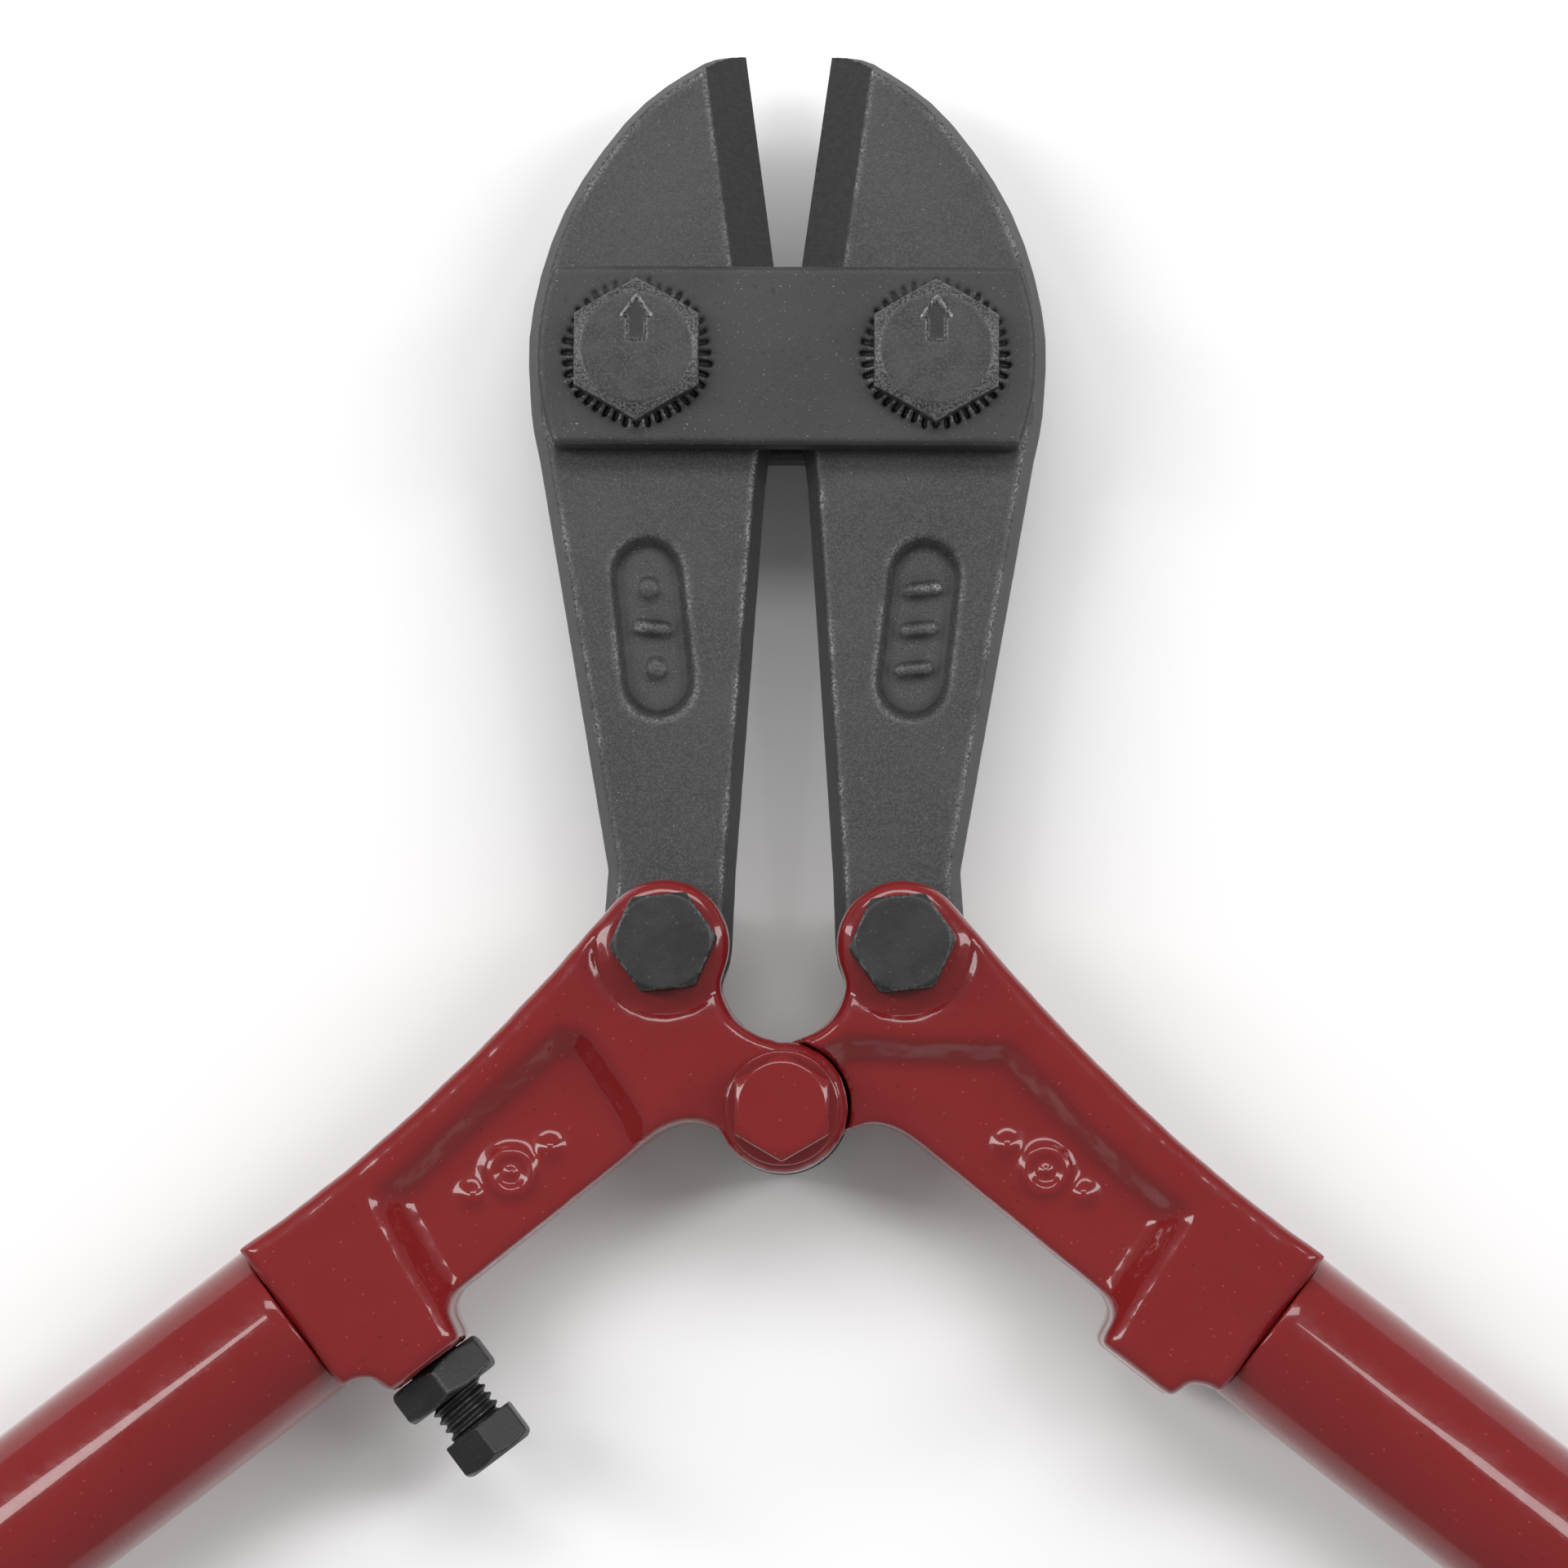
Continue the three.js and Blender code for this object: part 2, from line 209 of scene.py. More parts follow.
def neighbour_mean(mesh, values):
    """For each vertex, the mean of a row of values over its neighbours."""
    edges = np.empty(len(mesh.edges) * 2, np.int32)
    mesh.edges.foreach_get("vertices", edges)
    edges = edges.reshape(-1, 2)
    count = np.bincount(edges.ravel(), minlength=len(values))
    total = np.zeros_like(values)
    for column in range(values.shape[1]):
        total[:, column] = np.bincount(edges[:, 0], values[edges[:, 1], column], len(values))
        total[:, column] += np.bincount(edges[:, 1], values[edges[:, 0], column], len(values))
    return total / np.maximum(count, 1)[:, None]


def store_wear(piece, voxel, low=0.03, high=0.1):
    """Marks outer edges, where the finish rubs off, and inner corners, which the steel finish darkens as
    painted shade.
    """
    mesh = piece.data
    points = positions(mesh)
    proud = ((points - neighbour_mean(mesh, points)) * normals_of(mesh)).sum(axis=1) / voxel
    # hollow marks inner corners, for painted shade.
    for name, bend, rounds, gain in (("wear", proud, 1, 1.0), ("hollow", -proud, 4, 4.0)):
        marks = np.clip((bend - low) / (high - low), 0, 1)[:, None]
        for _ in range(rounds):
            marks = neighbour_mean(mesh, marks)
        store(piece, name, np.clip(gain * marks[:, 0], 0, 1))


def lathe(name, profile, sides, place):
    """A closed body of revolution from [along, radius] pairs, along the place matrix's Z axis."""
    vertices, rings = [], []
    for along, radius in profile:
        if radius < 1e-9:
            rings.append([len(vertices)])
            vertices.append(place @ Vector((0, 0, along)))
            continue
        rings.append(list(range(len(vertices), len(vertices) + sides)))
        for i in range(sides):
            angle = 2 * math.pi * i / sides
            vertices.append(place @ Vector((radius * math.cos(angle), radius * math.sin(angle), along)))
    faces = []
    pairs = list(zip(rings, rings[1:]))
    if len(rings[0]) > 1:
        pairs.append((rings[-1], rings[0]))
    for low, high in pairs:
        for i in range(sides):
            j = i + 1
            quad = [low[i % len(low)], low[j % len(low)], high[j % len(high)], high[i % len(high)]]
            faces.append([v for k, v in enumerate(quad) if v not in quad[:k]])  # a triangle at a tip
    return from_lists(name, vertices, faces)


def prism(name, outline, low, high, place=Matrix.Identity(4)):
    """An outline in X and Y raised from low to high."""
    count = len(outline)
    vertices = [place @ Vector((x, y, z)) for z in (low, high) for x, y in outline]
    faces = [list(range(count))[::-1], list(range(count, 2 * count))]
    for i in range(count):
        j = (i + 1) % count
        faces.append([i, j, j + count, i + count])
    return from_lists(name, vertices, faces)


def tube_place(side, along=0.0):
    """A matrix whose Z axis runs out along a handle's tube."""
    x, y = math.cos(TUBE_ANGLE), math.sin(TUBE_ANGLE)
    foot = Vector((AXIS_OFFSET * y + along * x, -AXIS_OFFSET * x + along * y, MID))
    direction = Vector((x, y, 0))
    if side == "right":
        foot.x, direction.x = -foot.x, -direction.x
    up = Vector((0, 0, 1))
    across = direction.cross(up)
    rotation = Matrix((up, across, direction)).transposed().to_4x4()
    return Matrix.Translation(foot) @ rotation


def upright(x, y, z=0.0):
    return Matrix.Translation((x, y, z))


# ---------------------------------------------------------------- materials

class Finish:
    """A procedural material: one Principled shader fed by noises in the piece's own coordinates."""

    def __init__(self, name):
        self.material = bpy.data.materials.new(name)
        self.material.use_nodes = True
        self.tree = self.material.node_tree
        self.shader = self.tree.nodes["Principled BSDF"]
        self.place = self.add("ShaderNodeTexCoord").outputs["Object"]

    def add(self, kind, **settings):
        node = self.tree.nodes.new(kind)
        for key, value in settings.items():
            setattr(node, key, value)
        return node

    def join(self, source, target):
        self.tree.links.new(source, target)

    def noise(self, size, detail=2.0, stretch=(1, 1, 1), turn=0.0):
        """Smooth noise with features about size metres across, from 0 to 1."""
        mapping = self.add("ShaderNodeMapping")
        mapping.inputs["Rotation"].default_value = (0, 0, turn)
        mapping.inputs["Scale"].default_value = stretch
        texture = self.add("ShaderNodeTexNoise")
        texture.inputs["Scale"].default_value = 1 / size
        texture.inputs["Detail"].default_value = detail
        self.join(self.place, mapping.inputs["Vector"])
        self.join(mapping.outputs["Vector"], texture.inputs["Vector"])
        return texture.outputs["Fac"]

    def pits(self, size):
        """Distance to the nearest of scattered points, size metres apart."""
        texture = self.add("ShaderNodeTexVoronoi")
        texture.inputs["Scale"].default_value = 1 / size
        self.join(self.place, texture.inputs["Vector"])
        return texture.outputs["Distance"]

    def edges(self, low, high):
        """From 0 to 1 between two pointinesses: 0.5 is flat, more an outer edge, less a hollow."""
        return self.spread(self.add("ShaderNodeNewGeometry").outputs["Pointiness"], low, high)

    def attribute(self, name):
        """A number that store() kept on the mesh, or 0 where there is none."""
        return self.add("ShaderNodeAttribute", attribute_name=name).outputs["Fac"]

    def spread(self, value, low, high, to_low=0.0, to_high=1.0):
        """Takes a value from the range low to high to the range to_low to to_high, and clamps it."""
        node = self.add("ShaderNodeMapRange", interpolation_type="SMOOTHSTEP")
        self.join(value, node.inputs["Value"])
        for key, number in zip(("From Min", "From Max", "To Min", "To Max"), (low, high, to_low, to_high)):
            node.inputs[key].default_value = number
        return node.outputs["Result"]

    def maths(self, operation, a, b):
        node = self.add("ShaderNodeMath", operation=operation)
        for value, target in zip((a, b), node.inputs):
            if isinstance(value, (int, float)):
                target.default_value = value
            else:
                self.join(value, target)
        return node.outputs["Value"]

    def mix(self, factor, a, b):
        """Colour a where factor is 0 and b where it is 1."""
        node = self.add("ShaderNodeMix", data_type="RGBA")
        self.join(factor, node.inputs["Factor"])
        for value, name in zip((a, b), "AB"):
            target = next(t for t in node.inputs if t.name == name and t.type == "RGBA")
            if isinstance(value, tuple):
                target.default_value = (*value, 1)
            else:
                self.join(value, target)
        return next(t for t in node.outputs if t.type == "RGBA")

    def blend(self, factor, strength, under, over):
        """Lays colour over on colour under, by a factor times a constant strength."""
        return self.mix(self.maths("MULTIPLY", factor, strength), under, over)

    def bump(self, height, distance, strength=1.0, under=None):
        node = self.add("ShaderNodeBump")
        node.inputs["Distance"].default_value = distance
        node.inputs["Strength"].default_value = strength
        self.join(height, node.inputs["Height"])
        if under is not None:
            self.join(under, node.inputs["Normal"])
        return node.outputs["Normal"]

    def finish(self, colour=None, roughness=None, normal=None, metallic=None, **constants):
        """Feeds the shader, and sets constants on its own sockets."""
        links = {"Base Color": colour, "Roughness": roughness, "Normal": normal, "Metallic": metallic}
        for key, value in links.items():
            if value is None:
                continue
            if isinstance(value, float):
                self.shader.inputs[key].default_value = value
            else:
                self.join(value, self.shader.inputs[key])
        for key, value in constants.items():
            self.shader.inputs[key.replace("_", " ")].default_value = value
        return self.material


def grey(value):
    """A grey with a trace of blue."""
    return (value, value, value * 1.02)


def steel_finish(name, grit, glint_rarity):
    """Dark phosphated steel: fine-grained, with painted glints and painted shade in inner corners, bare on
    worn edges, ground on the blades.

    grit is how light its grains are, and the last argument how rare its glints, bright specks of painted
    highlight (0.5 to 1).
    """
    f = Finish(name)
    grain = f.noise(0.26 * MM, 4)
    patches = f.noise(14 * MM, 4)
    colour = f.mix(f.spread(patches, 0.3, 0.7), grey(0.034), grey(0.046))
    colour = f.mix(f.spread(grain, 0.38, 0.7), colour, grey(grit))
    pores = f.spread(f.noise(0.7 * MM, 3), 0.36, 0.3)
    colour = f.blend(pores, 0.5, colour, grey(0.018))
    # Painted shade: inner corners and recess rims darkened, where shade falls.
    colour = f.blend(f.attribute("hollow"), 0.85, colour, grey(0.01))
    # Painted glints: scattered bright specks that stand in for highlights.
    glints = f.spread(f.noise(0.3 * MM, 3), glint_rarity, glint_rarity + 0.06)
    colour = f.blend(glints, 0.8, colour, grey(0.28))
    lightening = f.spread(f.noise(7 * MM, 3), 0.42, 0.58, 0.25, 1.0)
    worn = f.maths("MULTIPLY", f.attribute("wear"), f.spread(f.noise(0.35 * MM, 3), 0.4, 0.6))
    worn = f.maths("MULTIPLY", worn, lightening)
    colour = f.blend(worn, 0.8, colour, grey(0.3))
    ground = f.attribute("ground")
    lines = f.noise(0.5 * MM, 3, stretch=(0.12, 1, 1), turn=math.radians(20))
    blade = f.mix(f.spread(lines, 0.3, 0.7), grey(0.021), grey(0.029))
    colour = f.mix(ground, colour, blade)
    rough = f.spread(grain, 0.2, 0.8, 0.45, 0.6)
    rough = f.maths("SUBTRACT", rough, f.maths("MULTIPLY", worn, 0.12))
    normal = f.bump(grain, 0.05 * MM, 0.5)
    normal = f.bump(f.noise(1.6 * MM, 3), 0.06 * MM, 0.35, normal)
    metallic = f.maths("ADD", 0.2, f.maths("MULTIPLY", worn, 0.4))
    return f.finish(colour, rough, normal, metallic, Specular_IOR_Level=0.36)


def oxide_finish():
    """Black oxide on machined fasteners: darker and smoother than the forgings, rubbed on corners."""
    f = Finish("black_oxide")
    grain = f.noise(0.3 * MM, 3)
    smears = f.noise(4 * MM, 4)
    colour = f.mix(f.spread(smears, 0.3, 0.75), grey(0.02), grey(0.027))
    glints = f.spread(f.noise(0.4 * MM, 2), 0.66, 0.76)
    colour = f.blend(glints, 0.35, colour, grey(0.16))
    worn = f.maths("MULTIPLY", f.attribute("wear"), f.spread(f.noise(0.7 * MM, 3), 0.42, 0.58))
    colour = f.blend(worn, 0.6, colour, grey(0.25))
    rough = f.spread(smears, 0.3, 0.7, 0.38, 0.48)
    normal = f.bump(grain, 0.04 * MM, 0.45)
    normal = f.bump(f.noise(1.1 * MM, 3), 0.05 * MM, 0.3, normal)
    return f.finish(colour, rough, normal, 0.35)


def bolt_finish():
    """The forged heads of the jaw bolts: phosphated, with hammered faces, rough chamfers lightened all
    round as a painted highlight, and a sunk arrow darkened as painted shade.
    """
    f = Finish("forged_bolt")
    grain = f.noise(0.35 * MM, 4)
    dents = f.noise(2.6 * MM, 4)
    colour = f.mix(f.spread(dents, 0.35, 0.7), grey(0.026), grey(0.042))
    colour = f.mix(f.spread(grain, 0.42, 0.72), colour, grey(0.06))
    # Painted shade on the sunk arrow's floor.
    colour = f.blend(f.attribute("sunk"), 0.7, colour, grey(0.012))
    # Painted highlight: the chamfer band lightened all round, where it catches the light.
    lightening = f.maths("MULTIPLY", f.attribute("chamfer"), f.spread(f.noise(0.3 * MM, 2), 0.4, 0.62))
    colour = f.blend(lightening, 0.6, colour, grey(0.18))
    worn = f.maths("MULTIPLY", f.attribute("wear"), f.spread(f.noise(0.6 * MM, 3), 0.36, 0.5))
    colour = f.blend(worn, 0.8, colour, grey(0.34))
    rough = f.spread(dents, 0.3, 0.7, 0.4, 0.52)
    normal = f.bump(grain, 0.05 * MM, 0.5)
    normal = f.bump(dents, 0.1 * MM, 0.4, normal)
    return f.finish(colour, rough, normal, 0.3)


def paint_finish():
    """Thick deep red gloss, with painted shade in its hollows and a painted highlight on its sharp edges.
    """
    f = Finish("red_gloss_paint")
    tone = f.noise(22 * MM, 2)
    colour = f.mix(f.spread(tone, 0.3, 0.7), (0.182, 0.011, 0.0125), (0.196, 0.013, 0.0145))
    # Painted highlight: sharp outer edges lightened, where highlights fall.
    edge_highlight = f.edges(0.53, 0.64)
    colour = f.blend(edge_highlight, 0.3, colour, (0.27, 0.02, 0.022))
    # Painted shade: hollows darkened, where shade falls.
    hollow = f.edges(0.49, 0.43)
    colour = f.blend(hollow, 0.5, colour, (0.085, 0.003, 0.004))
    specks = f.spread(f.pits(1.7 * MM), 0.1, 0.06)
    colour = f.blend(specks, 0.45, colour, (0.4, 0.08, 0.08))
    dust = f.spread(f.pits(2.6 * MM), 0.08, 0.05)
    colour = f.blend(dust, 0.5, colour, (0.06, 0.003, 0.004))
    normal = f.bump(f.noise(1.5 * MM, 3), 0.07 * MM, 0.4)
    normal = f.bump(f.noise(6 * MM, 2), 0.25 * MM, 0.35, normal)
    rough = f.spread(f.noise(4 * MM, 3), 0.3, 0.7, 0.15, 0.25)
    return f.finish(
        colour, rough, normal, 0.0,
        Specular_IOR_Level=0.15, Coat_Weight=0.9, Coat_IOR=1.4, Coat_Roughness=0.04,
    )


def rubber_finish():
    """Matt black rubber with a fine moulded texture and a little dust."""
    f = Finish("grip_rubber")
    grain = f.noise(0.5 * MM, 3)
    dust = f.noise(11 * MM, 5)
    colour = f.mix(f.spread(dust, 0.4, 0.75), grey(0.014), grey(0.03))
    lightening = f.edges(0.51, 0.58)
    colour = f.blend(lightening, 0.4, colour, grey(0.06))
    rough = f.spread(dust, 0.3, 0.7, 0.6, 0.8)
    normal = f.bump(grain, 0.06 * MM, 0.6)
    return f.finish(colour, rough, normal, 0.0)


def floor_finish():
    f = Finish("pale_floor")
    shade = f.noise(0.4, 2)
    colour = f.mix(shade, (0.88, 0.88, 0.88), (0.9, 0.9, 0.9))
    return f.finish(colour, 0.7)


FORGING = steel_finish("phosphated_forging", 0.072, 0.7)
ROLLED = steel_finish("phosphated_plate", 0.046, 0.68)
OXIDE = oxide_finish()
FORGED_BOLT = bolt_finish()
PAINT = paint_finish()
RUBBER = rubber_finish()


def present(piece, material, node, body, slot):
    """Gives a finished piece its material and its body, and hides the CAD node that it stands for."""
    piece.data.materials.clear()
    piece.data.materials.append(material)
    piece.data.polygons.foreach_set("use_smooth", [True] * len(piece.data.polygons))
    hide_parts(node)
    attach(piece, body)


# ---------------------------------------------------------------- jaws

EDGE_REACH = -JAW_PIVOT.x - EDGE_GAP  # from a jaw's pivot to its cutting edge
RECESS_DEPTH = 1.5 * MM
BLADE_START = 9 * MM  # along the edge from level with the pivot to where the bevels begin


def blade_place(side, points):
    """How far points lie from the jaw's pivot towards its cutting edge and along that edge.

    The direction towards the edge comes third.
    """
    pivot = (SIGN[side] * -JAW_PIVOT.x, JAW_PIVOT.y, MID)
    towards = np.array((-SIGN[side] * math.cos(CLOSING), math.sin(CLOSING), 0))
    along = np.array((SIGN[side] * math.sin(CLOSING), math.cos(CLOSING), 0))
    offset = points - np.array(pivot)
    return offset @ towards, offset @ along, towards


def grind_blade(jaw, side):
    """Brings the voxel mesh back to flat bevels with a straight crease and cutting edge."""
    points = positions(jaw.data)
    reach, along, towards = blade_place(side, points)
    on_blade = along > BLADE_START - 0.2 * MM
    shift = np.zeros(len(points))
    crease = EDGE_REACH - BEVEL_WIDTH
    for line, width in ((crease, 0.52 * JAW_VOXEL), (EDGE_REACH, 1.2 * JAW_VOXEL)):
        near = on_blade & (np.abs(reach - line) < width)
        shift[near] = line - reach[near]
    points += shift[:, None] * towards
    reach += shift
    slope = (JAW_HALF - EDGE_HALF) / BEVEL_WIDTH
    limit = np.clip(EDGE_HALF + (EDGE_REACH - reach) * slope, EDGE_HALF, JAW_HALF)
    height = points[:, 2] - MID
    skin_depth = 0.35 * MM
    skin = on_blade & (reach > crease - 0.1 * MM) & (np.abs(height) > limit - skin_depth)
    points[skin, 2] = MID + np.sign(height[skin]) * limit[skin]
    jaw.data.vertices.foreach_set("co", points.astype(np.float32).ravel())
    ground = np.clip((reach - crease) / (0.1 * MM), 0, 1) * on_blade
    store(jaw, "ground", ground)


def pip(x, y, radius, floor, rise, facing):
    """A low round moulding mark that stands on a floor facing up or down."""
    place = Matrix.Translation((x, y, floor)) @ Matrix.Diagonal((1, 1, facing, 1))
    crown = [(rise * 0.7, radius * 0.8), (rise, radius * 0.3), (rise, 0)]
    profile = [(-rise, 0), (-rise, radius), (0, radius)] + crown
    return lathe("pip", profile, 20, place)


def bar(x, y, length, width, turn, floor, rise):
    """A low round-ended bar, half sunk in the floor that it stands on."""
    outline = []
    steps = 8
    for end, start in ((length / 2, -90), (-length / 2, 90)):
        for step in range(steps + 1):
            angle = math.radians(start + 180 / steps * step)
            outline.append((end + width / 2 * math.cos(angle), width / 2 * math.sin(angle)))
    place = Matrix.Translation((x, y, floor)) @ Matrix.Rotation(turn, 4, "Z")
    return prism("bar", outline, -rise, rise, place)


def recess_marks(side, facing):
    """Three plain marks in a jaw's recess: bars on the right jaw, a bar between two pips on the left."""
    sign = SIGN[side]
    floor = MID + facing * (JAW_HALF - RECESS_DEPTH)
    rise, radius = 0.7 * MM, 1.5 * MM
    length, width = 3.6 * MM, 1.3 * MM
    for k in (-1, 0, 1):
        x, y = sign * (17.2 + 0.55 * k) * MM, (61.9 + 5.2 * k) * MM
        if k == 0 or side == "right":
            yield bar(x, y, length, width, sign * math.radians(6), floor, rise)
        else:
            yield pip(x, y, radius, floor, rise, facing)


def make_jaw(side):
    node = f"{side}_jaw"
    jaw = copy_node(f"{side}_jaw_forging", node)
    for facing in (1, -1):
        join(jaw, *recess_marks(side, facing))
    voxels(jaw, JAW_VOXEL)

    def blade_kept(points):
        """Holds back the ground bevels, which grind_blade brings back to flat."""
        reach, along, _ = blade_place(side, points)
        near = np.clip((reach - EDGE_REACH + BEVEL_WIDTH + MM) / (0.5 * MM), 0, 1)
        return near * np.clip((along - BLADE_START) / (0.5 * MM), 0, 1)

    relax(jaw, 3, blade_kept)
    roughen(jaw, 3 * MM, 0.05 * MM)
    store_wear(jaw, JAW_VOXEL)
    grind_blade(jaw, side)
    present(jaw, FORGING, node, node, "forging")
    jaw.data.set_sharp_from_angle(angle=math.radians(28))


# ---------------------------------------------------------------- side plates

def make_plate(node, notched):
    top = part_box(node)[1].z
    plate = copy_node(f"{node}_forging", node)
    if notched:
        for side in SIGN:
            low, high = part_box(f"{side}_jaw_nut")
            centre = (low + high) / 2
            combine(plate, notch_cutter(centre.x, centre.y, top), "DIFFERENCE")
    voxels(plate, PLATE_VOXEL)
    relax(plate, 2)
    roughen(plate, 3 * MM, 0.04 * MM)
    store_wear(plate, PLATE_VOXEL, 0.045, 0.11)
    present(plate, ROLLED, node, "head", "side_plate")


def notch_cutter(x, y, top):
    """Forty radial notches that lock an eccentric bolt's head, struck deepest on the lower side."""
    count = 40
    draw = random.Random(7)
    cutter = None
    for i in range(count):
        turn = 2 * math.pi * i / count
        inner, outer = 6.2 * MM, draw.uniform(9.3, 9.9) * MM
        width = draw.uniform(0.6, 0.85) * MM
        depth = (0.55 - 0.25 * math.sin(turn) + draw.uniform(-0.1, 0.1)) * MM
        place = Matrix.Translation((x, y, top)) @ Matrix.Rotation(turn, 4, "Z")
        outline = [(inner, -width / 2), (outer, -width / 2), (outer, width / 2), (inner, width / 2)]
        slot = prism("slot", outline, -depth, depth, place)
        cutter = slot if cutter is None else join(cutter, slot)
    return cutter


# ---------------------------------------------------------------- brackets

def pad_groove(x, y, level, facing):
    """Lowers the casting round a fastener's seat, which leaves the seat as a round pad."""
    inner, outer, depth = 7.9 * MM, 10.6 * MM, 0.9 * MM
    place = Matrix.Translation((x, y, level)) @ Matrix.Diagonal((1, 1, facing, 1))
    profile = [(-depth, inner + 0.4 * MM), (-depth, inner + 0.9 * MM), (MM, outer), (MM, inner)]
    return lathe("groove", profile, 64, place)


def ring_mark(x, y, radius, width, floor, rise, facing):
    """A raised ring that stands on a floor facing up or down."""
    place = Matrix.Translation((x, y, floor)) @ Matrix.Diagonal((1, 1, facing, 1))
    inner = radius - width
    return lathe("ring", [(-rise, inner), (-rise, radius), (rise, radius), (rise, inner)], 32, place)


def pocket_marks(side, floor):
    """A foundry's dial mark on both pocket floors: a ring round a pip, between two more pips."""
    sign = SIGN[side]
    lug_face = 1 if side == "left" else -1
    ring_radius, ring_width, ring_rise = 3.3 * MM, 1.25 * MM, 1.2 * MM
    inner_pip, outer_pip, pip_rise = 1.1 * MM, 1.7 * MM, 1.3 * MM
    for facing, x, y in ((lug_face, 34.6, -8.4), (-lug_face, 33.6, -7.8)):
        level = MID + facing * floor
        yield ring_mark(sign * x * MM, y * MM, ring_radius, ring_width, level, ring_rise, facing)
        for k in (-1, 0, 1):
            at = sign * (x + 4.9 * k) * MM, (y - 3.1 * k) * MM
            yield pip(*at, inner_pip if k == 0 else outer_pip, level, pip_rise, facing)


def make_bracket(side):
    node = f"{side}_bracket"
    floor, face = 6.6 * MM, 10.8 * MM  # heights over the mid-plane
    cast = copy_node(f"{side}_bracket_casting", node)
    for facing in (1, -1):
        groove = pad_groove(SIGN[side] * -TAIL_PIN.x, TAIL_PIN.y, MID + facing * face, facing)
        combine(cast, groove, "DIFFERENCE")
    join(cast, *pocket_marks(side, floor))
    voxels(cast, CAST_VOXEL)

    along_tube = tube_place(side).to_3x3().col[2]
    foot = tube_place(side).translation

    def close_fits(points):
        """Holds back the half lap and the socket's mouth, whose edges fit closely."""
        radius = np.hypot(points[:, 0], points[:, 1])
        along = (points - np.array(foot)) @ np.array(along_tube)
        lap = 0.9 * np.clip((13 * MM - radius) / (3 * MM), 0, 1)
        mouth = 0.65 * np.clip((along - SOCKET_END + 4 * MM) / (2 * MM), 0, 1)
        return np.maximum(lap, mouth)

    relax(cast, 22, close_fits)
    add_parting_line(cast)
    roughen(cast, 5 * MM, 0.2 * MM)
    present(cast, PAINT, node, f"{side}_handle", "red_paint")


def add_parting_line(piece):
    """A faint raised seam round the walls at mid-height, where the mould's halves met."""
    mesh = piece.data
    points = positions(mesh)
    normals = normals_of(mesh)
    half_width, rise = 0.7 * MM, 0.22 * MM
    level = np.exp(-(((points[:, 2] - MID) / half_width) ** 2))
    walls = np.clip(1 - 2 * np.abs(normals[:, 2]), 0, 1)
    points += (level * walls * rise)[:, None] * normals
    set_positions(mesh, points)


# ---------------------------------------------------------------- fasteners

def chamfer(place, low, high, top, bottom, wide):
    """A body that holds a fastener and cuts its hexagon's corners back to radius top and bottom."""
    slope = math.tan(math.radians(30))
    past = 0.3 * MM  # how far its cones run on beyond the fastener's ends
    profile = [
        (low - past, 0), (low - past, bottom - past / slope), (low + (wide - bottom) * slope, wide),
        (high - (wide - top) * slope, wide), (high + past, top - past / slope), (high + past, 0),
    ]
    return lathe("chamfer", profile, 64, place)


ARROW_START, ARROW_TIP = 0.9 * MM, 6.8 * MM  # from the bolt's axis
ARROW_HEAD, ARROW_HALF = 2.9 * MM, 2.1 * MM  # length and half width of its head


def arrow_cutter(x, y, top):
    """The arrow sunk in a jaw bolt's head. It points towards the blades."""
    shaft, depth = 1.25 * MM, 0.4 * MM
    neck = ARROW_TIP - ARROW_HEAD
    right = [(shaft, ARROW_START), (shaft, neck), (ARROW_HALF, neck)]
    outline = right + [(0, ARROW_TIP)] + [(-across, up) for across, up in reversed(right)]
    return prism("arrow", outline, -depth, depth, upright(x, y, top))


def mark_arrow(piece, centre, top):
    """Moves the wear from the arrow's shaft to the two edges of its point, and marks what is sunk for
    painted shade.
    """
    points = positions(piece.data)
    across = np.abs(points[:, 0] - centre.x)
    up = points[:, 1] - centre.y
    beside, beyond = 0.5 * MM, 0.4 * MM
    near = (across < ARROW_HALF + beside) & (up > ARROW_START - beyond) & (up < ARROW_TIP + beyond)
    near &= points[:, 2] > MID
    rim_half = 0.22 * MM
    rim = np.abs(up - ARROW_TIP + across * ARROW_HEAD / ARROW_HALF) < rim_half
    wear = np.empty(len(points), np.float32)
    piece.data.attributes["wear"].data.foreach_get("value", wear)
    wear[near] = (rim & (across < ARROW_HALF))[near]
    piece.data.attributes["wear"].data.foreach_set("value", wear)
    store(piece, "sunk", (near & (points[:, 2] < top - 0.15 * MM)).astype(float))


def make_fastener(node, body, top, bottom, material=OXIDE, slot="black_oxide", soft=2, arrow=False):
    """A hex bolt or nut from its CAD solid, with turned chamfers and softened edges.

    top and bottom are the radii in millimetres that its chamfers leave at either end.
    """
    low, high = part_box(node)
    centre = (low + high) / 2
    piece = copy_node(f"{node}_machined", node)
    place = upright(centre.x, centre.y)
    wide = (high.y - low.y) / 2 + 0.5 * MM
    combine(piece, chamfer(place, low.z, high.z, top * MM, bottom * MM, wide), "INTERSECT")
    if arrow:
        combine(piece, arrow_cutter(centre.x, centre.y, high.z), "DIFFERENCE")
    voxels(piece, FASTENER_VOXEL)
    relax(piece, soft)
    store_wear(piece, FASTENER_VOXEL, 0.05, 0.12)
    if arrow:
        # The chamfer band, for a painted highlight.
        tilt = normals_of(piece.data)[:, 2]
        store(piece, "chamfer", ((tilt > 0.7) & (tilt < 0.95)).astype(float))
        mark_arrow(piece, centre, high.z)
    present(piece, material, node, body, slot)


